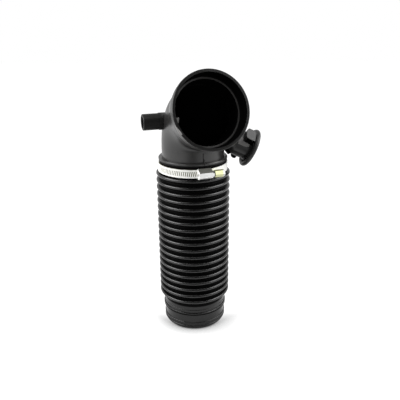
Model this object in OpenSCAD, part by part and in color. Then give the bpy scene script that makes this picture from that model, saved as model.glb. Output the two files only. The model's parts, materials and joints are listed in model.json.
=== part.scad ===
// Air intake and secondary air hose: a moulded elbow with a wide mouth and a nipple, a
// corrugated rubber hose clamped on its spigot, and a quick-fit side port with a rubber seal.
// The hose stands on its lower cuff. The origin is on the hose's axis, at the cuff's open end.
// Azimuths turn to the right from the front, which is -Y.

/* [Corrugated hose] */
// Outer radius over the corrugations
crest_r = 42; // [41.5:0.1:44]
// Outer radius at the bottom of the grooves
root_r = 36.9; // [36.7:0.1:37.5]
// Distance from one corrugation to the next
pitch = 8.25; // [7.8:0.05:9]
// Number of corrugations
crests = 19; // [12:1:24]
// Radius of the rounded ridge of a corrugation
ridge_r = 1.75; // [1.5:0.05:2]
// Wall of the corrugated rubber
hose_wall = 1.4; // [1.1:0.05:1.5]

/* [Hose cuffs] */
// Bore radius of the lower cuff
lower_bore_r = 34; // [33:0.1:35]
// Outer radius of the clamp seat on the lower cuff
lower_seat_r = 36.3; // [35.8:0.1:37]
// Height of the lower cuff up to its undercut lip
lower_seat_h = 19; // [14:0.5:24]
// Outer radius of the lip and neck above the lower cuff
neck_r = 37; // [36.8:0.1:37.6]
// Height from the lip to the middle of the first corrugation
neck_h = 19.9; // [14:0.1:26]
// Wall of the upper cuff, under the clamp
upper_wall = 2.85; // [2.55:0.05:3.4]
// Length of the upper cuff
upper_cuff_h = 14.8; // [14:0.1:20]
// Height of the lip at the top of the upper cuff
upper_lip_h = 2; // [1.6:0.1:4]

/* [Elbow] */
// Outer radius of the elbow's tube
tube_r = 34.9; // [33.5:0.1:35]
// Outer radius of the spigot inside the upper cuff
spigot_r = 35.2; // [35:0.1:35.8]
// Wall of the elbow
elbow_wall = 2.4; // [2:0.1:2.8]
// Outer radius of the stop flange on the cuff's end
flange_r = 38.9; // [37.5:0.1:41]
// Thickness of the stop flange
flange_t = 1.9; // [1.5:0.1:4]
// Height from the cuff's end to the point where the tube's two axes meet
bend_rise = 42; // [38:0.2:50]
// Radius of the bend's centreline
bend_r = 40; // [38:0.5:46]
// Turn of the mouth to the right of the front
mouth_azimuth = 19.6; // [0:0.2:40]
// Upward tilt of the mouth
mouth_tilt = 18.7; // [10:0.1:30]
// Distance from the axes' meeting point to the mouth's rim
mouth_reach = 63.7; // [62:0.1:80]
// Outer radius of the mouth
mouth_r = 39.9; // [39:0.1:43]
// Bore radius of the mouth's socket
socket_r = 37.4; // [36.8:0.1:37.8]
// Depth of the mouth's socket down to its ledge
socket_depth = 15.5; // [10:0.5:17]
// Bore radius of the ledge
ledge_r = 34; // [33.5:0.1:35.5]

/* [Nipple] */
// Outer radius of the nipple
nipple_r = 8.8; // [7.6:0.1:10]
// Bore radius of the nipple
nipple_bore_r = 6.6; // [5:0.1:6.8]
// Distance of the nipple's open end from the hose axis
nipple_reach = 55.9; // [50:0.1:66]
// Length of the nipple's plain end, from the open end to the thicker root
nipple_l = 17.9; // [12:0.1:18.5]
// Turn of the nipple toward the front from straight left
nipple_azimuth = 17.8; // [0:0.2:30]

/* [Side port] */
// Outer radius of the stub inside the collar
stub_r = 12.4; // [11.8:0.1:12.6]
// Bore radius of the collar
port_bore_r = 9.2; // [7:0.1:9.4]
// Distance of the port's outer face from the hose axis
port_reach = 75; // [73:0.5:84]
// Turn of the port toward the back from straight right
port_azimuth = 6.8; // [0:0.2:20]
// Downward tilt of the port
port_drop = 26; // [15:0.5:28]
// Outer radius of the collar
collar_r = 14.8; // [14.4:0.1:15.8]
// Length of the collar
collar_l = 21.1; // [20:0.1:22]
// Outer radius of the collar's neck, inside the seal
port_neck_r = 13.6; // [12.6:0.1:13.8]
// Width of the flat lugs on the collar
lug_w = 15; // [10:0.5:17]
// Distance from the port's axis to the face of the larger lug
lug_r = 20; // [18.5:0.1:21]
// Outer radius of the rubber seal
seal_r = 22.1; // [21:0.1:25]
// Thickness of the rubber seal
seal_t = 5.1; // [4.5:0.1:7]

/* [Clamp] */
// Width of the band
band_w = 9; // [8:0.1:10]
// Thickness of the band
band_t = 0.7; // [0.5:0.05:0.8]
// Turn of the clamp's housing to the right of the front
clamp_azimuth = 18.6; // [-60:0.2:60]
// Sweep of the band's free tail past the housing
tail_sweep = 100; // [40:1:140]
// Distance between the slots of the band
slot_pitch = 2.2; // [1.8:0.1:3]
// Length of the housing
housing_l = 14.9; // [12:0.1:18]
// Outer radius of the screw's worm
worm_r = 3.15; // [2.8:0.05:3.4]
// Distance across the flats of the screw's head
hex_af = 7; // [6:0.5:7]
// Length of the screw's head
head_l = 11; // [7:0.5:13]

/* [Hidden] */
$fn = 96;
// Facets of the small rounds in revolved sections, in a mesh preview
fine = 32;

// Play between pieces that sit in or on each other, and of the screw's bearings
fit_gap = 0.15;
bearing_gap = 0.05;
// Overlap that makes cuts run clear of a face
cut = 1;
// Size of the small rounds and bevels
edge = 0.6;

// Hose
duct_r = tube_r - elbow_wall;
spigot_seat_r = spigot_r + fit_gap;
upper_seat_r = spigot_seat_r + upper_wall;
groove_r = pitch / 2 - ridge_r;
bellows_bore_r = root_r - hose_wall;
first_crest_z = lower_seat_h + neck_h;
last_crest_z = first_crest_z + (crests - 1) * pitch;
cuff_z = last_crest_z + ridge_r;
cuff_top = cuff_z + upper_cuff_h;
upper_lip_t = 0.5;
upper_lip_r = upper_seat_r + upper_lip_t;
// The bore opens to the bellows' bore over a cone above the lower cuff
cone_start = 5;
cone_h = 3;
lower_bore_h = lower_seat_h + cone_start;
foot_bevel = [0.9, 1.4];
lip_t = 1;
lip_r = neck_r + lip_t;
lip_h = 3.6;
lip_round = 0.8;
undercut = 0.6;
neck_bead_h = 7;
neck_bead_r = 0.5;
neck_bead_in = 0.15;
// The ribs on the clamp seat: their height as shares of the seat's, and how far they are sunk
cuff_ribs = [0.18, 0.43];
cuff_rib_r = 1;
cuff_rib_in = 0.2;
stop_r = duct_r + 1;

// Elbow
bend_z = cuff_top + bend_rise;
bend_turn = 90 - mouth_tilt;
bend_tangent = bend_r * tan(bend_turn / 2);
ledge_z = mouth_reach - socket_depth;
flare_l = 26;
duct_flare_l = 14;
// Where the side branches start, inside the duct
root_depth = 8;
root_in = duct_r - root_depth;
// The nipple's root, a little thicker than its plain end
nipple_root_t = 0.5;
nipple_root_r = nipple_r + nipple_root_t;
// The straight tube and the flare reach a little into the bend, and are a hair wider than it
lap = 0.5;
step = 0.1;
rim_w = 3;
rim_t = 0.6;
rim_r = mouth_r + rim_t;
socket_bevel = 1.2;
// The moulded pad on the tube's front and the gusset at its edge
pad_t = 0.45;
pad_from = 19.3;
pad_to = 85;
pad_below = 1;
pad_top = bend_z - bend_tangent - pad_below;
gusset_w = 1.2;
gusset_h = 6;
gusset_t = 2.4;

// Port, measured along its axis from the hose axis
port_below = 2;
port_z = bend_z - port_below;
seal_face_t = 1.6;
collar_end = port_reach - seal_face_t;
collar_start = collar_end - collar_l;
stub_l = 9.8;
stub_end = collar_start + stub_l;
// The stub's bore is a step narrower than the collar's
stub_step = 0.4;
stub_bore_r = port_bore_r - stub_step;
shoulder_r = 16.7;
shoulder_l = 8.5;
shoulder_gap = 0.4;
shoulder_end = collar_start - shoulder_gap;
collar_body_l = 14.5;
seal_start = port_reach - seal_t;
seal_lip_t = 2;
seal_step = 1;
// The two lugs, on opposite sides of the collar: the turn of the short one round the port's axis
lug_turn = 37.6;
lug_start = 5.9;
long_lug_l = 10.9;
short_lug_l = 6.8;
short_lug_r = lug_r - 1.4;
lug_corner = 3.5;
lug_cut = 3;
lug_root = 0.7;
oring_r = 1;
oring_play = 0.05;
oring_groove_w = 2.6;
oring_depth = 5;
oring_at = collar_start + oring_depth;

// Clamp, in its own frame with the screw at the front
clamp_z = cuff_z + (upper_cuff_h - upper_lip_h) / 2;
band_r = upper_seat_r + fit_gap;
layer_gap = 0.1;
tail_r = band_r + band_t + layer_gap;
tail_out_r = tail_r + band_t;
worm_gap = 0.2;
screw_y = tail_out_r + worm_gap + worm_r;
cover_t = 0.6;
housing_top = screw_y + worm_r + cover_t;
side_t = 1.1;
housing_w = band_w + 2 * side_t;
// The housing's section: its foot, the straight height of its sides, and its narrower crown
foot_in = 0.2;
side_h = 1.6;
crown_h = 0.7;
crown_w = [6.8, 5.2];
wall_t = 1.3;
neck_collar_in = 0.1;
neck_collar_l = 1.8;
neck_r_screw = 2.2;
pilot_r = 1.5;
head_gap = 0.9;
// The head's rounded end: its width less than the flats, and the cone's slope
head_in = 0.2;
head_slope = 0.8;
screw_slot = [1.2, 1.5];
// Turns of the inner layer's end, and of the joggle between the band's two layers
ramp_from = 13;
ramp_to = 20;
lap_end = 8;
// The joggle sits a little inside its layers' faces, and its ends a little inside their ends
joggle_in = 0.05;
joggle_sunk = 0.7;
// The rounded tip of the tail
tip_r = band_w / 2 + cut;
tip_turn = asin(tip_r / tail_r);
// The slanted slots, and their width and length as shares of the pitch and of the band
slot_turn = slot_pitch / tail_r * 180 / PI;
slot_from = 6;
slot_slant = 12;
slot_share = [0.45, 0.6];

module at_mouth()
    translate([0, 0, bend_z])
        rotate([90 - mouth_tilt, 0, mouth_azimuth])
            children();

module at_nipple()
    translate([0, 0, bend_z + 1])
        rotate([0, 90, 180 + nipple_azimuth])
            children();

module at_port()
    translate([0, 0, port_z])
        rotate([0, 90 + port_drop, port_azimuth])
            children();

module at_clamp()
    translate([0, 0, clamp_z])
        rotate([0, 0, clamp_azimuth])
            children();

// A rectangle of a revolved section, from radius r0 to r1 and height z0 to z1
module section(r0, r1, z0, z1)
    translate([r0, z0])
        square([r1 - r0, z1 - z0]);

// The hollow fold of one corrugation, open to the inside
module ridge_section(z)
    translate([crest_r - ridge_r, z]) {
        intersection() {
            difference() {
                circle(ridge_r, $fn = fine);
                circle(ridge_r - hose_wall, $fn = fine);
            }
            section(0, ridge_r, -ridge_r, ridge_r);
        }
        flank = crest_r - ridge_r - root_r - groove_r;
        section(-flank, 0, ridge_r - hose_wall, ridge_r);
        section(-flank, 0, -ridge_r, hose_wall - ridge_r);
    }

// The rounded groove between two corrugations
module groove_section(z)
    translate([root_r + groove_r, z])
        intersection() {
            difference() {
                circle(groove_r + hose_wall, $fn = fine);
                circle(groove_r, $fn = fine);
            }
            section(-groove_r - hose_wall, 0, -groove_r - hose_wall, groove_r + hose_wall);
        }

module lower_cuff_section() {
    difference() {
        union() {
            polygon([
                [lower_bore_r, 0], [lower_seat_r - foot_bevel[0], 0], [lower_seat_r, foot_bevel[1]],
                [lower_seat_r, lower_seat_h], [lower_bore_r, lower_seat_h]
            ]);
            for (z = cuff_ribs * lower_seat_h)
                translate([lower_seat_r - cuff_rib_in, z])
                    circle(cuff_rib_r, $fn = fine);
            section(lower_bore_r, lip_r - lip_round, lower_seat_h - cut, lower_seat_h + lip_h);
            section(lip_r - lip_round, lip_r, lower_seat_h, lower_seat_h + lip_h - lip_round);
            translate([lip_r - lip_round, lower_seat_h + lip_h - lip_round])
                circle(lip_round, $fn = fine);
        }
        section(lower_seat_r - undercut, lower_seat_r + cut, lower_seat_h - undercut, lower_seat_h);
    }
    polygon([
        [lower_bore_r, lower_seat_h], [neck_r, lower_seat_h],
        [neck_r, first_crest_z - ridge_r + hose_wall],
        [bellows_bore_r, first_crest_z - ridge_r + hose_wall],
        [bellows_bore_r, lower_bore_h + cone_h], [lower_bore_r, lower_bore_h]
    ]);
    translate([neck_r - neck_bead_in, lower_seat_h + neck_bead_h])
        circle(neck_bead_r, $fn = fine);
    section(bellows_bore_r, crest_r - ridge_r, first_crest_z - ridge_r,
            first_crest_z - ridge_r + hose_wall);
}

module upper_cuff_section() {
    section(stop_r, crest_r - ridge_r, cuff_z - hose_wall, cuff_z);
    section(spigot_seat_r, upper_seat_r, cuff_z - hose_wall, cuff_top);
    section(upper_seat_r - cut, upper_lip_r, cuff_top - upper_lip_h + edge, cuff_top - edge);
    section(upper_seat_r - cut, upper_lip_r - edge, cuff_top - upper_lip_h, cuff_top);
    for (z = [cuff_top - upper_lip_h + edge, cuff_top - edge])
        translate([upper_lip_r - edge, z])
            circle(edge, $fn = fine);
}

module bellows_hose()
    color([0.16, 0.16, 0.165])
        rotate_extrude() {
            lower_cuff_section();
            for (i = [0 : crests - 1])
                ridge_section(first_crest_z + i * pitch);
            for (i = [1 : crests - 1])
                groove_section(first_crest_z + (i - 0.5) * pitch);
            upper_cuff_section();
        }

// The pad on the front of the tube, and the gusset that ties its edge to the flange
module tube_pad() {
    base_z = cuff_top + flange_t - edge;
    rotate([0, 0, pad_from - 90])
        rotate_extrude(angle = pad_to - pad_from)
            section(tube_r - cut, tube_r + pad_t, base_z, pad_top);
    rotate([0, 0, pad_from - 90])
        translate([tube_r - cut, gusset_w, base_z])
            rotate([90, 0, 0])
                linear_extrude(gusset_w)
                    polygon([[0, 0], [gusset_t + cut, 0], [gusset_t + cut, edge],
                             [cut, gusset_h], [0, gusset_h]]);
}

// A round bar that follows the elbow's bend from the tube's top to the mouth's start
module bend(r)
    rotate([0, 0, mouth_azimuth])
        translate([0, -bend_r, bend_z - bend_tangent])
            rotate([90, 0, 90])
                rotate_extrude(angle = bend_turn)
                    translate([bend_r, 0])
                        circle(r);

module elbow_outside() {
    translate([0, 0, cuff_z + fit_gap])
        cylinder(r = spigot_r, h = upper_cuff_h);
    translate([0, 0, cuff_top])
        cylinder(r = flange_r, h = flange_t - edge);
    translate([0, 0, cuff_top + flange_t - edge])
        cylinder(r1 = flange_r, r2 = flange_r - edge, h = edge);
    translate([0, 0, cuff_top])
        cylinder(r = tube_r + step, h = bend_rise - bend_tangent + lap);
    tube_pad();
    bend(tube_r);
    at_mouth() {
        translate([0, 0, bend_tangent - lap])
            cylinder(r1 = tube_r + step, r2 = mouth_r, h = flare_l + lap);
        translate([0, 0, bend_tangent + flare_l])
            cylinder(r = mouth_r, h = mouth_reach - bend_tangent - flare_l);
        translate([0, 0, mouth_reach - rim_w])
            cylinder(r = rim_r, h = rim_w - edge);
        translate([0, 0, mouth_reach - edge])
            cylinder(r1 = rim_r, r2 = rim_r - edge, h = edge);
    }
    at_nipple() {
        translate([0, 0, root_in])
            cylinder(r = nipple_r, h = nipple_reach - edge - root_in);
        translate([0, 0, root_in])
            cylinder(r = nipple_root_r, h = nipple_reach - nipple_l - root_in);
        translate([0, 0, nipple_reach - edge])
            cylinder(r1 = nipple_r, r2 = nipple_r - edge, h = edge);
    }
    at_port() {
        translate([0, 0, root_in])
            cylinder(r = stub_r, h = stub_end - root_in);
        translate([0, 0, shoulder_end - shoulder_l])
            cylinder(r1 = stub_r, r2 = shoulder_r, h = shoulder_l);
    }
}

module elbow_inside() {
    translate([0, 0, cuff_z])
        cylinder(r = duct_r + step, h = bend_z - bend_tangent + lap - cuff_z);
    bend(duct_r);
    at_mouth() {
        translate([0, 0, bend_tangent - lap])
            cylinder(r1 = duct_r + step, r2 = ledge_r, h = duct_flare_l + lap);
        translate([0, 0, bend_tangent + duct_flare_l])
            cylinder(r = ledge_r, h = mouth_reach - bend_tangent - duct_flare_l);
        translate([0, 0, ledge_z])
            cylinder(r1 = socket_r - socket_bevel, r2 = socket_r, h = socket_bevel);
        translate([0, 0, ledge_z + socket_bevel])
            cylinder(r = socket_r, h = socket_depth + cut);
    }
    at_nipple()
        cylinder(r = nipple_bore_r, h = nipple_reach + cut);
    at_port() {
        cylinder(r = stub_bore_r, h = stub_end + cut);
        translate([0, 0, oring_at - oring_groove_w / 2])
            difference() {
                cylinder(r = stub_r + cut, h = oring_groove_w);
                translate([0, 0, -cut])
                    cylinder(r = stub_r - 1.8 * oring_r, h = oring_groove_w + 2 * cut);
            }
    }
}

module elbow()
    color([0.25, 0.245, 0.24])
        difference() {
            elbow_outside();
            elbow_inside();
        }

// A stretch of the band: its inner radius, and its turn from a to b
module band_arc(r, a, b)
    rotate([0, 0, a - 90])
        rotate_extrude(angle = b - a)
            translate([r, -band_w / 2])
                square([band_t, band_w]);

// The point at radius r and turn a from the front, to the right
function around(r, a) = [r * sin(a), -r * cos(a)];

// The joggle that lifts the band from its inner layer to its outer one
module band_joggle() {
    in_r = band_r + joggle_in;
    out_r = tail_r + joggle_in;
    t = band_t - 2 * joggle_in;
    in_end = ramp_to + joggle_sunk;
    out_end = ramp_from - joggle_sunk;
    translate([0, 0, joggle_in - band_w / 2])
        linear_extrude(band_w - 2 * joggle_in)
            polygon([
                around(in_r, in_end), around(in_r, ramp_to),
                around(out_r, ramp_from), around(out_r, out_end),
                around(out_r + t, out_end), around(out_r + t, ramp_from),
                around(in_r + t, ramp_to), around(in_r + t, in_end)
            ]);
}

module clamp_band()
    color([0.9, 0.9, 0.88])
        at_clamp() {
            band_arc(band_r, ramp_to - 360, lap_end);
            band_joggle();
            difference() {
                band_arc(tail_r, -tail_sweep, ramp_from);
                rotate([90, 0, tip_turn - tail_sweep])
                    difference() {
                        translate([-tip_r - cut, -band_w, 0])
                            cube([tip_r + cut, 2 * band_w, tail_r + band_w]);
                        translate([0, 0, -cut])
                            cylinder(r = tip_r, h = tail_r + band_w + 2 * cut);
                    }
                for (a = [slot_from : -slot_turn : 2 * tip_turn - tail_sweep])
                    rotate([0, 0, a])
                        translate([0, -tail_r - band_t / 2, 0])
                            rotate([0, slot_slant, 0])
                                cube([slot_share[0] * slot_pitch, band_t + layer_gap,
                                      slot_share[1] * band_w], center = true);
            }
        }

module clamp_housing()
    color([0.93, 0.92, 0.9])
        at_clamp()
            difference() {
                foot = band_r + foot_in;
                shoulder = tail_out_r + side_h;
                union() {
                    translate([-housing_l / 2, 0, 0])
                        rotate([90, 0, 90])
                            linear_extrude(housing_l)
                                polygon([
                                    [-foot, -housing_w / 2], [-shoulder, -housing_w / 2],
                                    [crown_h - housing_top, -crown_w[0] / 2], [-housing_top, -crown_w[1] / 2],
                                    [-housing_top, crown_w[1] / 2], [crown_h - housing_top, crown_w[0] / 2],
                                    [-shoulder, housing_w / 2], [-foot, housing_w / 2]
                                ]);
                    translate([housing_l / 2, -screw_y, 0])
                        rotate([0, 90, 0])
                            cylinder(r = housing_top - screw_y - neck_collar_in, h = neck_collar_l);
                }
                cylinder(r = tail_out_r + fit_gap, h = band_w + 2 * fit_gap, center = true);
                translate([-housing_l / 2 + wall_t, -screw_y, 0])
                    rotate([0, 90, 0])
                        cylinder(r = worm_r + 2 * bearing_gap, h = housing_l - 2 * wall_t);
                translate([-housing_l / 2 - cut, -screw_y, 0])
                    rotate([0, 90, 0])
                        cylinder(r = pilot_r + bearing_gap, h = housing_l);
                translate([0, -screw_y, 0])
                    rotate([0, 90, 0])
                        cylinder(r = neck_r_screw + bearing_gap, h = housing_l);
            }

module clamp_screw()
    color([0.85, 0.87, 0.55])
        at_clamp()
            translate([0, -screw_y, 0])
                rotate([0, 90, 0]) {
                    worm_l = housing_l - 2 * wall_t - 2 * fit_gap;
                    head_z = housing_l / 2 + neck_collar_l + head_gap;
                    translate([0, 0, -worm_l / 2])
                        cylinder(r = worm_r, h = worm_l);
                    translate([0, 0, -housing_l / 2])
                        cylinder(r = pilot_r, h = housing_l / 2);
                    cylinder(r = neck_r_screw, h = head_z + cut);
                    difference() {
                        intersection() {
                            translate([0, 0, head_z])
                                rotate([0, 0, 30])
                                    cylinder(r = hex_af / sqrt(3), h = head_l, $fn = 6);
                            translate([0, 0, head_z - cut])
                                cylinder(r1 = hex_af / 2 - head_in + head_slope * (head_l + cut),
                                         r2 = hex_af / 2 - head_in, h = head_l + cut);
                        }
                        translate([0, 0, head_z + head_l])
                            cube([hex_af + cut, screw_slot[0], 2 * screw_slot[1]], center = true);
                    }
                }

// The outline of a lug, along the port's axis and across it: rounded near corners, one far
// corner cut off
module lug_outline(long) {
    polygon([
        [lug_corner, -lug_w / 2], [long - lug_cut, -lug_w / 2], [long, lug_cut - lug_w / 2],
        [long, lug_w / 2], [lug_corner, lug_w / 2]
    ]);
    translate([0, lug_corner - lug_w / 2])
        square([long, lug_w - 2 * lug_corner]);
    for (y = [-1, 1] * (lug_w / 2 - lug_corner))
        translate([lug_corner, y])
            circle(lug_corner);
}

// A flat lug of the collar, with its face at radius r
module lug(turn, r, long)
    rotate([0, 0, turn])
        translate([r, 0, collar_start + lug_start])
            rotate([0, -90, 0])
                linear_extrude(r - port_neck_r + lug_root)
                    lug_outline(long);

module port_collar()
    color([0.2, 0.2, 0.2])
        at_port()
            difference() {
                union() {
                    translate([0, 0, collar_start])
                        cylinder(r = collar_r, h = collar_body_l);
                    translate([0, 0, collar_start])
                        cylinder(r = port_neck_r, h = collar_l);
                    lug(lug_turn + 180, lug_r, long_lug_l);
                    lug(lug_turn, short_lug_r, short_lug_l);
                }
                translate([0, 0, collar_start - cut])
                    cylinder(r = stub_r + fit_gap, h = stub_end - collar_start + cut + fit_gap);
                cylinder(r = port_bore_r, h = port_reach);
            }

module port_oring()
    color([0.1, 0.1, 0.1])
        at_port()
            translate([0, 0, oring_at])
                rotate_extrude()
                    translate([stub_r - 0.8 * oring_r, 0])
                        circle(oring_r - oring_play);

module port_seal()
    color([0.14, 0.14, 0.145])
        at_port()
            rotate_extrude() {
                section(port_bore_r + seal_step, seal_r - seal_t / 2, collar_end + fit_gap, port_reach);
                section(port_neck_r + fit_gap, port_neck_r + seal_lip_t, seal_start, port_reach);
                translate([seal_r - seal_t / 2, seal_start + seal_t / 2])
                    circle(seal_t / 2);
            }

bellows_hose();
elbow();
clamp_band();
clamp_housing();
clamp_screw();
port_collar();
port_oring();
port_seal();
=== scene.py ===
import json
import math
import bmesh
import bpy
from mathutils import Matrix, Vector
from mathutils.kdtree import KDTree


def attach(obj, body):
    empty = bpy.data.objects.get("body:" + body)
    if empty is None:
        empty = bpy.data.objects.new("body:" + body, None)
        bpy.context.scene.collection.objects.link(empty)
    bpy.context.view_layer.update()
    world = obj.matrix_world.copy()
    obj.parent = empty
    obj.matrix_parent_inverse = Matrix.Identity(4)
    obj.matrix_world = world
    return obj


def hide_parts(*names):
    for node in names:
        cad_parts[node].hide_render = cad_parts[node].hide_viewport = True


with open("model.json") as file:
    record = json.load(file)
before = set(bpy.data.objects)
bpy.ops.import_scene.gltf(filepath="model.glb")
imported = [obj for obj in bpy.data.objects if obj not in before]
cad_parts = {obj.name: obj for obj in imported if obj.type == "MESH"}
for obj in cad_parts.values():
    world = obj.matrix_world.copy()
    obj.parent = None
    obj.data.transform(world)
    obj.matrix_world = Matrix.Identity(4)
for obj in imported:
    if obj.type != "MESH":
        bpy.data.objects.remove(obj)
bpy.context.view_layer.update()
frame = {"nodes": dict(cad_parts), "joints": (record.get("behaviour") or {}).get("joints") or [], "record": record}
nodes = frame["nodes"]
scene = bpy.context.scene
scene.view_settings.view_transform = "Standard"


# Lengths are in metres

mounts = {mount["name"]: mount for mount in frame["record"]["mounts"]}


def branch(name):
    """Where a mount's line leaves the hose's axis, its direction, and how far out the mount is."""
    place, out = Vector(mounts[name]["pos_m"]), Vector(mounts[name]["axis"])
    reach = place.to_2d().length / out.to_2d().length
    return place - out * reach, out, reach


# The mouth: out along its axis to the rim, across to the right, and up across
BEND, OUT, RIM = branch("mouth")
ACROSS = Vector((-OUT.y, OUT.x, 0)).normalized()
UP = OUT.cross(ACROSS)
TILT = math.asin(OUT.z)
SOCKET = mounts["mouth"]["dims"]["r_mm"] / 1000
SOCKET_DEPTH = 0.0155
LEDGE = RIM - SOCKET_DEPTH
# The radius of the bend's centreline
CENTRE_R = 0.040

# The nipple: where it leaves the elbow, and just over its root's radius
NIPPLE_ROOT, NIPPLE_OUT, _ = branch("nipple")
NIPPLE_FROM = 0.0345
NIPPLE_R = mounts["nipple"]["dims"]["r_mm"] / 1000 + 0.0006

# The port: its axis, a level direction across it, and one up across both
PORT_ROOT, PORT_OUT, _ = branch("port")
PORT_SIDE = PORT_OUT.cross(Vector((0, 0, 1))).normalized()
PORT_UP = PORT_SIDE.cross(PORT_OUT)
STUB_BORE_FROM, STUB_BORE_R = 0.025, 0.0089
# The turns of the collar's front lug and of its underside, and just over its body's radius
LUG_TURN, UNDER_TURN, COLLAR_R = math.radians(52.4), math.radians(-75), 0.015

# The clamp's screw: its middle, its direction, where its parts end along it, and their radii
SCREW_JOINT = frame["joints"][0]
SCREW_MID, SCREW_OUT = Vector(SCREW_JOINT["pos_m"]), Vector(SCREW_JOINT["axis"])
SCREW_AZ = math.atan2(SCREW_OUT.y, SCREW_OUT.x)
WORM_END, PILOT_END, HEAD_FROM, HEAD_FACE = 0.00595, 0.00745, 0.01015, 0.01895
WORM_R, PILOT_R, NECK_R, ROOT_R, THREAD = 0.00315, 0.0015, 0.0022, 0.0023, 0.0022

# Heights where the elbow's parting line ends, where the bellows begin, and of the painted shadow line at the
# cuff's undercut
PARTING_TOP, BELLOWS_FROM, UNDERCUT_SHADE = 0.2165, 0.031, (0.0195, 0.0210)


# Materials

class Maker:
    """A node material with a principled shader, built step by step."""

    def __init__(self, name, color, rough, metal=0.0, specular=0.5):
        self.mat = bpy.data.materials.new(name)
        self.mat.use_nodes = True
        self.nt = self.mat.node_tree
        self.bsdf = self.nt.nodes["Principled BSDF"]
        self.bsdf.inputs["Base Color"].default_value = (*color, 1)
        self.bsdf.inputs["Roughness"].default_value = rough
        self.bsdf.inputs["Metallic"].default_value = metal
        self.bsdf.inputs["Specular IOR Level"].default_value = specular
        self.coord = self.nt.nodes.new("ShaderNodeTexCoord")

    def new(self, kind, **values):
        """A node; each value goes to the socket of that name, or else to the property."""
        node = self.nt.nodes.new(kind)
        for key, value in values.items():
            if key in node.inputs:
                node.inputs[key].default_value = value
            else:
                setattr(node, key, value)
        return node

    def link(self, a, b):
        self.nt.links.new(a, b)

    def noise(self, scale, detail=3.0, rough=0.55, stretch=(1, 1, 1)):
        move = self.new("ShaderNodeMapping", Scale=stretch)
        self.link(self.coord.outputs["Object"], move.inputs["Vector"])
        node = self.new("ShaderNodeTexNoise", Scale=scale, Detail=detail, Roughness=rough)
        self.link(move.outputs["Vector"], node.inputs["Vector"])
        return node.outputs["Fac"]

    def ramp(self, value, low, low_color, high, high_color):
        node = self.new("ShaderNodeValToRGB")
        for element, place, color in zip(node.color_ramp.elements, (low, high),
                                         (low_color, high_color)):
            element.position = place
            element.color = (*color, 1)
        self.link(value, node.inputs["Fac"])
        return node.outputs["Color"]

    def range(self, value, low, high, to_low, to_high):
        node = self.new("ShaderNodeMapRange")
        for i, x in enumerate((low, high, to_low, to_high), 1):
            node.inputs[i].default_value = x
        self.link(value, node.inputs["Value"])
        return node.outputs["Result"]

    def math(self, operation, a, b=None):
        node = self.new("ShaderNodeMath", operation=operation)
        for socket, x in zip(node.inputs, (a, b)):
            if isinstance(x, (int, float)):
                socket.default_value = x
            elif x is not None:
                self.link(x, socket)
        return node.outputs[0]

    def mix(self, fac, a, b):
        node = self.new("ShaderNodeMix", data_type="RGBA")
        self.link(fac, node.inputs["Factor"])
        for socket, x in ((node.inputs[6], a), (node.inputs[7], b)):
            if isinstance(x, tuple):
                socket.default_value = (*x, 1)
            else:
                self.link(x, socket)
        return node.outputs[2]

    def between(self, value, low, high):
        """1 between low and high, and 0 outside."""
        return self.math("MULTIPLY", self.math("GREATER_THAN", value, low),
                         self.math("LESS_THAN", value, high))

    def split(self):
        node = self.new("ShaderNodeSeparateXYZ")
        self.link(self.coord.outputs["Object"], node.inputs["Vector"])
        return node.outputs

    def along(self, turn):
        """The place along the level direction at a turn from +X."""
        x, y, _ = self.split()
        return self.math("ADD", self.math("MULTIPLY", x, math.cos(turn)),
                         self.math("MULTIPLY", y, math.sin(turn)))

    def from_axis(self):
        """The distance from the hose's axis."""
        x, y, _ = self.split()
        return self.math("SQRT", self.math("ADD", self.math("MULTIPLY", x, x),
                                           self.math("MULTIPLY", y, y)))

    def from_mouth(self):
        """The distance from the mouth's axis."""
        off = self.new("ShaderNodeVectorMath", operation="SUBTRACT")
        off.inputs[1].default_value = BEND
        self.link(self.coord.outputs["Object"], off.inputs[0])
        cross = self.new("ShaderNodeVectorMath", operation="CROSS_PRODUCT")
        cross.inputs[1].default_value = OUT
        self.link(off.outputs["Vector"], cross.inputs[0])
        length = self.new("ShaderNodeVectorMath", operation="LENGTH")
        self.link(cross.outputs["Vector"], length.inputs[0])
        return length.outputs["Value"]

    def color(self, value):
        self.link(value, self.bsdf.inputs["Base Color"])

    def roughness(self, value):
        self.link(value, self.bsdf.inputs["Roughness"])

    def gloss(self, value):
        self.link(value, self.bsdf.inputs["Specular IOR Level"])

    def bump(self, value, strength, distance):
        node = self.new("ShaderNodeBump", Strength=strength, Distance=distance)
        self.link(value, node.inputs["Height"])
        self.link(node.outputs["Normal"], self.bsdf.inputs["Normal"])


def moulded_plastic(name, tone, rough, specular=0.5, parting=None, corner=None):
    """Plastic of one grey, with faint clouds and a fine grain.

    parting is the turn of the mould's parting line about the hose's axis, seen on the neck.
    corner is two distances from the mouth's axis, between which a painted shade darkens it and takes away its
    gloss towards the corner.
    """
    m = Maker(name, (tone, tone, tone), rough, specular=specular)
    tones = m.ramp(m.noise(28, 4, 0.6), 0.3, (tone * 0.8, tone * 0.79, tone * 0.78),
                   0.7, (tone * 1.25, tone * 1.22, tone * 1.18))
    if corner:
        corner_shade = m.range(m.from_mouth(), *corner, 0.0, 1.0)
        tones = m.mix(corner_shade, tones, (0.001, 0.001, 0.001))
        m.gloss(m.range(corner_shade, 0.0, 1.0, specular, 0.0))
    m.color(tones)
    m.roughness(m.range(m.noise(60, 3), 0.3, 0.7, rough - 0.03, rough + 0.05))
    if parting is not None:
        beside = m.range(m.math("ABSOLUTE", m.along(parting)), 0.0002, 0.0005, 0.0, specular)
        above = m.math("GREATER_THAN", m.split()["Z"], PARTING_TOP)
        m.gloss(m.math("MAXIMUM", beside, m.math("MULTIPLY", above, specular)))
    m.bump(m.noise(2600, 2, 0.5), 0.05, 0.00004)
    return m.mat


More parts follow.
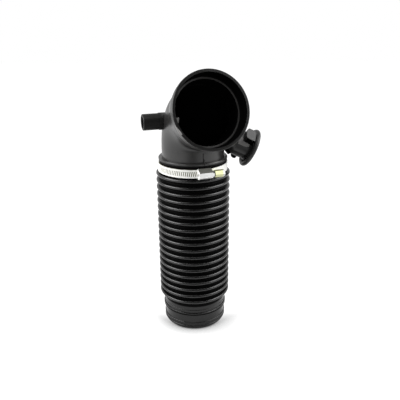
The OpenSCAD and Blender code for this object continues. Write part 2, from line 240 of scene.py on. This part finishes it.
def moulded_rubber(name, tone, rough, groove_shade_radii=None):
    """Rubber with a soft mottle.

    groove_shade_radii is two distances from the hose's axis: between them the bellows go from grooves that lose
    their gloss, a painted shade, to glossy crests. The cuff is less glossy, and a band at its undercut loses its
    gloss too, a painted shadow line.
    """
    m = Maker(name, (tone, tone, tone), rough)
    m.color(m.ramp(m.noise(22, 5, 0.65), 0.3, (tone * 0.75, tone * 0.75, tone * 0.77),
                   0.72, (tone * 1.4, tone * 1.38, tone * 1.36)))
    mottle = m.range(m.noise(75, 4, 0.6), 0.3, 0.7, rough - 0.06, rough + 0.08)
    if groove_shade_radii:
        z = m.split()["Z"]
        bellows = m.range(z, BELLOWS_FROM - 0.001, BELLOWS_FROM, 0.0, 1.0)
        groove_shade = m.math("MULTIPLY", m.range(m.from_axis(), *groove_shade_radii, 1.0, 0.0), bellows)
        # The grooves and the band at the undercut lose their gloss: painted shade
        dull = m.math("MAXIMUM", groove_shade, m.between(z, *UNDERCUT_SHADE))
        m.gloss(m.math("MULTIPLY", m.range(bellows, 0.0, 1.0, 0.36, 0.55),
                       m.range(dull, 0.0, 1.0, 1.0, 0.05)))
        mottle = m.math("ADD", mottle, m.math("MULTIPLY", dull, 0.25))
    m.roughness(mottle)
    m.bump(m.noise(1500, 3, 0.6), 0.15, 0.00005)
    return m.mat


def plated_steel(name, color, rough, dull, grain, metal=0.4, slot_shade=None, shade_and_highlight=None):
    """Plated steel that varies between two colours, with a grain stretched by grain.

    slot_shade is a radius and two turns in degrees: between them, the layer below that shows through the band's
    slot openings is darkened, a painted shade.
    shade_and_highlight is a turn and two places along it: painted shade before the first, and a painted highlight
    past the second.
    """
    m = Maker(name, color, rough, metal=metal)
    grains = m.noise(180, 4, 0.6, grain)
    plated = m.mix(m.range(m.noise(45, 3, 0.6), 0.3, 0.7, 0, 1), color, dull)
    if slot_shade:
        radius, first, last = slot_shade
        x, y, _ = m.split()
        turn = m.math("ARCTAN2", x, m.math("MULTIPLY", y, -1.0))
        slot_shade_mask = m.math("MULTIPLY", m.math("LESS_THAN", m.from_axis(), radius),
                      m.between(turn, math.radians(first), math.radians(last)))
        # The layer under the band's slot openings: painted shade
        plated = m.mix(slot_shade_mask, plated, (0.16, 0.15, 0.08))
    if shade_and_highlight:
        turn, shade_end, highlight_from = shade_and_highlight
        along = m.along(turn)
        # Painted shade along the shaft and neck, and a painted highlight at the head's end
        plated = m.mix(m.math("LESS_THAN", along, shade_end), plated, (0.03, 0.028, 0.02))
        plated = m.mix(m.math("GREATER_THAN", along, highlight_from), plated, (0.98, 0.98, 0.95))
    m.color(plated)
    m.roughness(m.range(grains, 0.3, 0.7, rough - 0.08, rough + 0.08))
    m.bump(grains, 0.12, 0.00003)
    return m.mat


ELBOW = moulded_plastic("elbow_plastic", 0.015, 0.33, specular=0.6, parting=math.radians(19.2))
# The rim's face: a darker, less glossy copy of the elbow's plastic, painted shade
RIM_SHADE = moulded_plastic("rim_painted_shade_plastic", 0.005, 0.30, specular=0.35)
# The ledge: a lighter copy of the elbow's plastic, painted light, with painted shade in its corner
LEDGE_LIGHT_AND_SHADE = moulded_plastic("ledge_painted_light_and_shade_plastic", 0.034, 0.45, specular=0.3, corner=(0.0353, 0.0361))
# Near black and without gloss for the ducts, the stub's bore, the gap below the collar's lug and its rear lug:
# painted shade
DEEP_SHADE = moulded_plastic("deep_painted_shade_plastic", 0.0012, 0.7, specular=0.02)
# The mouth's tabs: a lighter copy of the elbow's plastic, painted light
TAB_LIGHT = moulded_plastic("tab_painted_light_plastic", 0.09, 0.36)
# The mouth's key: a much lighter copy of the elbow's plastic, a painted highlight
KEY_HIGHLIGHT = moulded_plastic("key_painted_highlight_plastic", 0.24, 0.40)
# The nipple and the collar's underside: a darker, less glossy copy of the plastic, painted shade
SOFT_SHADE = moulded_plastic("soft_painted_shade_plastic", 0.010, 0.40, specular=0.12)
# The collar's pad: a lighter copy of the collar's plastic, painted light
PAD_LIGHT = moulded_plastic("collar_pad_painted_light_plastic", 0.095, 0.40, specular=0.4)
COLLAR = moulded_plastic("collar_plastic", 0.008, 0.35, specular=0.42)
HOSE = moulded_rubber("hose_rubber", 0.0018, 0.26, groove_shade_radii=(0.0385, 0.0400))
SEAL = moulded_rubber("seal_rubber", 0.014, 0.42)
ORING = moulded_rubber("oring_rubber", 0.006, 0.35)
BAND = plated_steel("clamp_steel", (0.96, 0.96, 0.93), 0.38, (0.90, 0.90, 0.85), (1, 1, 40),
                    metal=0.12, slot_shade=(0.03912, -81, 25))
HOUSING = plated_steel("housing_steel", (0.96, 0.96, 0.95), 0.36, (0.90, 0.90, 0.88),
                       (30, 1, 1), metal=0.1)
HOUSING_TOP_SHADE = plated_steel("housing_top_painted_shade_steel", (0.10, 0.10, 0.09), 0.5, (0.15, 0.15, 0.13),
                           (30, 1, 1))
SCREW = plated_steel("screw_zinc", (0.95, 0.97, 0.50), 0.34, (0.93, 0.94, 0.60), (1, 1, 1),
                     metal=0.15, shade_and_highlight=(SCREW_AZ, HEAD_FROM, HEAD_FACE))
# The screw head's top flat: painted shade
SCREW_TOP_SHADE = plated_steel("screw_top_painted_shade_zinc", (0.20, 0.20, 0.05), 0.5, (0.14, 0.13, 0.04),
                          (1, 1, 1))

for name, mat in (("elbow", ELBOW), ("port_collar", COLLAR), ("bellows_hose", HOSE),
                  ("port_seal", SEAL), ("port_oring", ORING), ("clamp_band", BAND),
                  ("clamp_housing", HOUSING), ("clamp_screw", SCREW)):
    for slot in nodes[name].material_slots:
        slot.material = mat


# Faces with a surface of their own

def paint(obj, mat, chosen):
    """Gives mat to the faces for which chosen(centre, normal) is true."""
    obj.data.materials.append(mat)
    for poly in obj.data.polygons:
        if chosen(poly.center, poly.normal):
            poly.material_index = len(obj.data.materials) - 1


def from_line(spot, root, out):
    """How far a point lies along the line from root in the direction out, and away from it."""
    along = (spot - root).dot(out)
    return along, (spot - root - out * along).length


def duct_line():
    """Points along the duct's centreline, from the spigot round the bend to the mouth's ledge."""
    turn = math.pi / 2 - TILT
    reach = CENTRE_R * math.tan(turn / 2)
    ahead = Vector((0, 0, -1)).cross(ACROSS)
    neck = [BEND - Vector((0, 0, reach + 0.002 * i)) for i in range(1, 16)]
    hub = BEND - Vector((0, 0, reach)) + ahead * CENTRE_R
    bend = []
    for i in range(31):
        a = turn * i / 30
        bend.append(hub - ahead * CENTRE_R * math.cos(a) + Vector((0, 0, CENTRE_R * math.sin(a))))
    return neck + bend + [BEND + OUT * (reach + 0.001 * i)
                          for i in range(1, int((LEDGE - reach) * 1000))]


def paint_elbow(elbow):
    """Painted shade on the mouth's rim and socket, the ducts, the stub's bore and the nipple, and painted light
    and shade on the ledge.
    """
    line = duct_line()
    tree = KDTree(len(line))
    for i, point in enumerate(line):
        tree.insert(point, i)
    tree.balance()
    # No face of the duct lies further than this from its centreline
    widest = 0.042
    ledge_low, ledge_high = LEDGE - 0.0025, LEDGE + 0.0005
    rim_low, rim_high = RIM - 0.0025, RIM - 0.0005
    socket_r = SOCKET + 0.0001

    def on_rim(spot, normal):
        return from_line(spot, BEND, OUT)[0] > rim_low and normal.dot(OUT) > 0.5

    def on_ledge(spot, normal):
        out, off = from_line(spot, BEND, OUT)
        return ledge_low < out <= ledge_high and off < socket_r

    def inside(spot, normal):
        near, _, gap = tree.find(spot)
        if gap < widest and normal.dot(near - spot) > 0.5 * gap:
            return True
        out, off = from_line(spot, BEND, OUT)
        return ledge_high < out < rim_high and off < socket_r

    def on_nipple(spot, normal):
        along, off = from_line(spot, NIPPLE_ROOT, NIPPLE_OUT)
        return along > NIPPLE_FROM and off < NIPPLE_R

    def in_stub(spot, normal):
        along, off = from_line(spot, PORT_ROOT, PORT_OUT)
        return along > STUB_BORE_FROM and off < STUB_BORE_R

    paint(elbow, RIM_SHADE, on_rim)
    paint(elbow, LEDGE_LIGHT_AND_SHADE, on_ledge)
    paint(elbow, DEEP_SHADE, inside)
    paint(elbow, SOFT_SHADE, on_nipple)
    paint(elbow, DEEP_SHADE, in_stub)


def port_spoke(turn):
    """The direction away from the port's axis at a turn about it."""
    return PORT_SIDE * math.cos(turn) + PORT_UP * math.sin(turn)


def paint_collar(collar):
    """Painted shade on the collar's underside, the gap below its front lug, and its rear lug."""
    front, under = port_spoke(LUG_TURN), port_spoke(UNDER_TURN)
    below_front = port_spoke(LUG_TURN - math.pi / 2)
    rear_lug_from = 0.0152

    def on_underside(spot, normal):
        return normal.dot(under) > 0.73

    def in_gap_or_rear(spot, normal):
        rear = (PORT_ROOT - spot).dot(front) > rear_lug_from
        off = from_line(spot, PORT_ROOT, PORT_OUT)[1]
        return rear or (normal.dot(below_front) > 0.9 and off > COLLAR_R)

    paint(collar, SOFT_SHADE, on_underside)
    paint(collar, DEEP_SHADE, in_gap_or_rear)


paint_elbow(nodes["elbow"])
paint_collar(nodes["port_collar"])
# The housing's top faces are darker: painted shade
paint(nodes["clamp_housing"], HOUSING_TOP_SHADE, lambda spot, normal: normal.z > 0.45)


# Pieces

def piece(name, verts, faces, mat, smooth=False, bevel=0.0):
    mesh = bpy.data.meshes.new(name)
    mesh.from_pydata(verts, [], faces)
    bm = bmesh.new()
    bm.from_mesh(mesh)
    bmesh.ops.recalc_face_normals(bm, faces=bm.faces)
    bm.to_mesh(mesh)
    bm.free()
    obj = bpy.data.objects.new(name, mesh)
    scene.collection.objects.link(obj)
    mesh.materials.append(mat)
    if bevel:
        mod = obj.modifiers.new("edges", "BEVEL")
        mod.width = bevel
        mod.segments = 2
    for poly in mesh.polygons:
        poly.use_smooth = smooth
    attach(obj, "hose_assembly")


def slab(name, rows, mat, bevel):
    """A curved slab through rows of four corners: near base, near top, far base, far top."""
    faces = []
    for a in range(0, 4 * len(rows) - 4, 4):
        b = a + 4
        faces += [(a, b, b + 1, a + 1), (a + 2, a + 3, b + 3, b + 2),
                  (a + 1, b + 1, b + 3, a + 3), (a, a + 2, b + 2, b)]
    e = 4 * len(rows) - 4
    faces += [(0, 1, 3, 2), (e, e + 2, e + 3, e + 1)]
    piece(name, [corner for row in rows for corner in row], faces, mat, bevel=bevel)


def in_mouth(r, turn, reach):
    """The point at a radius, a turn in degrees and a reach along the mouth's axis."""
    a = math.radians(turn)
    return BEND + OUT * reach + (ACROSS * math.cos(a) + UP * math.sin(a)) * r


def tab(name, turns, heights, near, far):
    """A tab that stands in from the mouth's wall by heights, one for each turn."""
    rows = [[in_mouth(r, turn, reach) for reach in (near, far)
             for r in (SOCKET + 0.0004, SOCKET - height)] for turn, height in zip(turns, heights)]
    slab(name, rows, TAB_LIGHT, 0.00012)


def collar_pad(turns, nears, fars, low, high):
    """A low step on the collar beside its front lug, between the stretches nears and fars."""
    rows = [[PORT_ROOT + PORT_OUT * reach + port_spoke(math.radians(turn)) * r
             for reach in (near, far) for r in (low, high)]
            for turn, near, far in zip(turns, nears, fars)]
    slab("collar_pad", rows, PAD_LIGHT, 0.00015)


def bead(name, turns, r, reach, radii):
    """A rounded ridge on the mouth's rim, as thick as radii say, one for each turn."""
    sides = 12
    verts, faces = [], []
    for turn, radius in zip(turns, radii):
        for i in range(sides):
            a = 2 * math.pi * i / sides
            verts.append(in_mouth(r + radius * math.cos(a), turn, reach + radius * math.sin(a)))
    for low in range(0, sides * (len(turns) - 1), sides):
        for j in range(sides):
            k = (j + 1) % sides
            faces.append((low + j, low + k, low + sides + k, low + sides + j))
    faces += [tuple(range(sides)), tuple(range(len(verts) - sides, len(verts)))]
    piece(name, verts, faces, KEY_HIGHLIGHT, smooth=True)


def thread_radius(along, turn):
    """The screw's radius: pilot, threaded worm with run-outs at both ends, and neck."""
    flank_top, flank_slope, runout_l = 1.7, 5.0, 0.0009
    if along < -WORM_END:
        return PILOT_R
    if along > WORM_END:
        return NECK_R
    phase = (along / THREAD - turn / (2 * math.pi)) % 1.0
    rise = min(1.0, max(0.0, flank_top - flank_slope * abs(phase - 0.5)))
    runout = min(1.0, (WORM_END - abs(along)) / runout_l)
    return ROOT_R + (WORM_R - ROOT_R) * rise * runout


def add_shaft(bm):
    """The pilot, the threaded worm and the neck, closed at both ends."""
    sides, per_thread = 48, 14
    step, in_head = 0.00002, 0.0005
    side = Vector((0, 0, 1))
    front = SCREW_OUT.cross(side)
    count = int(2 * WORM_END / THREAD * per_thread)
    stations = [-PILOT_END, -WORM_END - step]
    stations += [-WORM_END + 2 * WORM_END * i / count for i in range(count + 1)]
    stations += [WORM_END + step, HEAD_FROM + in_head]
    rings = []
    for along in stations:
        ring = []
        for j in range(sides):
            a = 2 * math.pi * j / sides
            spoke = side * math.cos(a) + front * math.sin(a)
            ring.append(bm.verts.new(SCREW_MID + SCREW_OUT * along
                                     + spoke * thread_radius(along, a)))
        rings.append(ring)
    for low, high in zip(rings, rings[1:]):
        for j in range(sides):
            k = (j + 1) % sides
            bm.faces.new((low[j], low[k], high[k], high[j])).smooth = True
    bm.faces.new(rings[0])
    bm.faces.new(rings[-1])
    bmesh.ops.recalc_face_normals(bm, faces=bm.faces)


def add_head(bm, plain):
    """The head of the plain screw, closed where its shaft is cut away."""
    head = bmesh.new()
    head.from_mesh(plain)
    inside = [f for f in head.faces
              if (f.calc_center_median() - SCREW_MID).dot(SCREW_OUT) < HEAD_FROM - 0.00001]
    bmesh.ops.delete(head, geom=inside, context="FACES")
    bmesh.ops.remove_doubles(head, verts=head.verts, dist=0.000001)
    bmesh.ops.holes_fill(head, edges=[e for e in head.edges if e.is_boundary], sides=0)
    mesh = bpy.data.meshes.new("screw_head")
    head.to_mesh(mesh)
    head.free()
    bm.from_mesh(mesh)
    bpy.data.meshes.remove(mesh)


def worm_screw():
    """The clamp's screw with its thread, in place of the plain one."""
    bm = bmesh.new()
    add_shaft(bm)
    add_head(bm, nodes["clamp_screw"].data)
    mesh = bpy.data.meshes.new("worm_screw")
    bm.to_mesh(mesh)
    bm.free()
    obj = bpy.data.objects.new("worm_screw", mesh)
    scene.collection.objects.link(obj)
    mesh.materials.append(SCREW)

    # The head's top flat is darker: painted shade
    def on_shaded_top_flat(spot, normal):
        return (spot - SCREW_MID).dot(SCREW_OUT) > HEAD_FROM and normal.z > 0.98

    paint(obj, SCREW_TOP_SHADE, on_shaded_top_flat)
    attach(obj, "screw")
    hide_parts("clamp_screw")


# The key and the tabs are toned lighter than the elbow: painted light
bead("mouth_key", [194, 197, 200, 203, 206, 209, 212, 213], SOCKET + 0.0022, RIM - 0.0015,
     [0.0005, 0.0010, 0.0013, 0.0015, 0.0016, 0.0016, 0.0016, 0.0015])
tab("mouth_tab_upper", [186, 189, 192, 195, 198], [0.0064, 0.0060, 0.0052, 0.0042, 0.0022],
    RIM - 0.0140, RIM - 0.0115)
worm_screw()
collar_pad([3, 6, 9, 12, 15, 18, 20, 20.5, 23, 27, 31, 35],
           [0.0535, 0.0533, 0.0531, 0.0530, 0.0530, 0.0530,
            0.0530, 0.0530, 0.0530, 0.0530, 0.0531, 0.0533],
           [0.0610, 0.0650, 0.0662, 0.0666, 0.0666, 0.0665,
            0.0660, 0.0600, 0.0577, 0.0575, 0.0575, 0.0570], 0.0146, 0.0154)
tab("mouth_tab_lower", [214, 218, 222, 226], [0.0012, 0.0016, 0.0016, 0.0009],
    RIM - 0.0150, RIM - 0.0135)


# Stage

def studio_floor():
    """A pale floor that the camera sees as white, with the object's soft shadow by its foot."""
    bm = bmesh.new()
    bmesh.ops.create_grid(bm, x_segments=2, y_segments=2, size=4.0)
    mesh = bpy.data.meshes.new("floor")
    bm.to_mesh(mesh)
    bm.free()
    floor = bpy.data.objects.new("floor", mesh)
    floor.location = (0, 0, -0.0002)
    scene.collection.objects.link(floor)
    m = Maker("floor_white", (0.14, 0.14, 0.14), 1.0, specular=0.0)
    path = m.new("ShaderNodeLightPath")
    mirrored = m.math("MAXIMUM", path.outputs["Is Glossy Ray"],
                      path.outputs["Is Transmission Ray"])
    x, y, _ = m.split()
    # Gloss finds a dark studio in front of the white sweep
    sweep = m.math("MAXIMUM", m.range(y, -0.26, -0.17, 0.0, 1.0),
                   m.range(m.math("ABSOLUTE", x), 0.12, 0.32, 0.0, 1.0))
    seen = m.math("MAXIMUM", path.outputs["Is Camera Ray"], m.math("MULTIPLY", mirrored, sweep))
    # The shadow is wider on the right, and lies in front of the foot
    near = m.new("ShaderNodeAmbientOcclusion", samples=8)
    m.link(m.range(x, 0.01, 0.04, 0.022, 0.034), near.inputs["Distance"])
    shade = m.math("MAXIMUM", m.range(near.outputs["AO"], 0.35, 0.97, 0.12, 1.0),
                   m.range(y, -0.036, 0.002, 0.0, 1.0))
    m.bsdf.inputs["Emission Color"].default_value = (1, 1, 1, 1)
    m.link(m.math("MULTIPLY", seen, shade), m.bsdf.inputs["Emission Strength"])
    mesh.materials.append(m.mat)


def studio_world():
    """White to the camera, and for light brighter behind the object than in front of it."""
    world = bpy.data.worlds.new("studio")
    scene.world = world
    world.use_nodes = True
    tree = world.node_tree
    back = tree.nodes["Background"]
    back.inputs["Color"].default_value = (1, 1, 1, 1)
    path = tree.nodes.new("ShaderNodeLightPath")
    where = tree.nodes.new("ShaderNodeTexCoord")
    split = tree.nodes.new("ShaderNodeSeparateXYZ")
    tree.links.new(where.outputs["Generated"], split.inputs["Vector"])
    depth = tree.nodes.new("ShaderNodeMapRange")
    for i, x in enumerate((-0.55, 0.35, 0.02, 0.8), 1):
        depth.inputs[i].default_value = x
    tree.links.new(split.outputs["Y"], depth.inputs["Value"])
    strength = tree.nodes.new("ShaderNodeMath")
    strength.operation = "MAXIMUM"
    tree.links.new(path.outputs["Is Camera Ray"], strength.inputs[0])
    tree.links.new(depth.outputs["Result"], strength.inputs[1])
    tree.links.new(strength.outputs[0], back.inputs["Strength"])


def softbox(name, place, aim, size, radiance, mirrored=True):
    """A lamp whose face has one radiance; it shows in glossy surfaces unless mirrored is False."""
    data = bpy.data.lights.new(name, "AREA")
    data.shape = "RECTANGLE"
    data.size, data.size_y = size
    data.energy = radiance * math.pi * size[0] * size[1]
    lamp = bpy.data.objects.new(name, data)
    lamp.location = place
    lamp.rotation_euler = (Vector(aim) - Vector(place)).to_track_quat("-Z", "Y").to_euler()
    lamp.visible_glossy = mirrored
    scene.collection.objects.link(lamp)


studio_floor()
studio_world()
softbox("front_fill", (0.10, -1.10, 0.50), (0, 0, 0.18), (0.9, 0.5), 2.9, mirrored=False)
softbox("left_box", (-0.80, -0.22, 0.72), (0, 0, 0.22), (0.9, 0.7), 7.0)
softbox("right_box", (0.80, -0.10, 0.70), (0, 0, 0.22), (0.8, 0.7), 5.5)
softbox("top_box", (0.0, -0.25, 1.25), (0, 0, 0.15), (0.8, 0.4), 3.0)


# Camera, fitted to the photograph: it looks down by PITCH and leans by ROLL

FOCAL_PX, PICTURE_PX, PITCH, ROLL = 484.0, 400.0, 0.3537, -0.0079
lens = bpy.data.cameras.new("camera")
lens.sensor_width = 36.0
lens.lens = FOCAL_PX / PICTURE_PX * lens.sensor_width
lens.shift_x, lens.shift_y = -0.00125, 0.00125
lens.clip_start, lens.clip_end = 0.01, 20.0
camera = bpy.data.objects.new("camera", lens)
camera.matrix_world = (Matrix.Translation((0.00823, -0.53015, 0.34716))
                       @ Matrix.Rotation(math.pi / 2 - PITCH, 4, "X")
                       @ Matrix.Rotation(ROLL, 4, "Z"))
scene.collection.objects.link(camera)
scene.camera = camera
